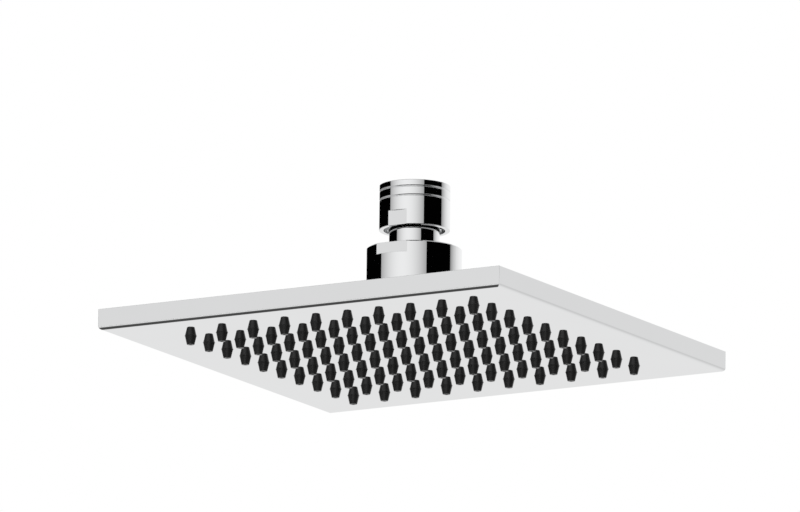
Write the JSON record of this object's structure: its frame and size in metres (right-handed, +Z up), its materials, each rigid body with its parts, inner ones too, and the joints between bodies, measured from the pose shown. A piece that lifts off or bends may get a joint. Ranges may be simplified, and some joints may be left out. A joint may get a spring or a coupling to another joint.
{
  "type": "shower head",
  "caption": "Square, flat overhead shower head, chromed, with a grid of black nozzles below and a ball joint with a threaded inlet socket above.",
  "frame": {"origin": "centre of the inlet socket's mouth, on the swivel axis", "axes": "+Z up, along the inlet's axis and out of its mouth; X and Y along the edges of the square head"},
  "size_m": [0.2, 0.2, 0.0772],
  "materials": {
    "chromed_brass": "polished",
    "chromed_plastic": "polished",
    "black_silicone": "satin",
    "seal_rubber": "matte",
    "bearing_plastic": "matte",
    "white_plastic": "matte",
    "stainless": "brushed",
    "bare_brass": "turned"
  },
  "bodies": {
    "inlet_body": {"ball_connector": "chromed_brass", "inlet_washer": "seal_rubber", "filter_screen": "stainless", "regulator_body": "white_plastic", "regulator_core": "white_plastic", "regulator_ring": "seal_rubber"},
    "bearing_ring": {"slip_ring": "bearing_plastic"},
    "joint_seat": {"ball_seat": "bearing_plastic", "ball_seal": "seal_rubber"},
    "spray_head": {"retaining_collar": "chromed_brass", "head_hub": "chromed_brass", "seat_washer": "seal_rubber", "hub_gasket": "seal_rubber", "lock_nut_washer": "stainless", "hub_lock_nut": "bare_brass", "back_cover": "chromed_plastic", "spray_face": "chromed_plastic", "nozzle_mat": "black_silicone", "mat_retainer": "white_plastic", "retainer_screws": "stainless"}
  },
  "joints": [
    {"name": "ball_turn", "type": "hinge", "parent": "inlet_body", "child": "bearing_ring", "pos_m": [0, 0, -0.04075], "axis": [0, 0, 1], "continuous": true},
    {"name": "ball_tilt", "type": "hinge", "parent": "bearing_ring", "child": "joint_seat", "pos_m": [0, 0, -0.04075], "axis": [1, 0, 0], "range_deg": [-12, 12]},
    {"name": "head_swivel", "type": "hinge", "parent": "joint_seat", "child": "spray_head", "pos_m": [0, 0, -0.04075], "axis": [0, 0, 1], "continuous": true}
  ]
}
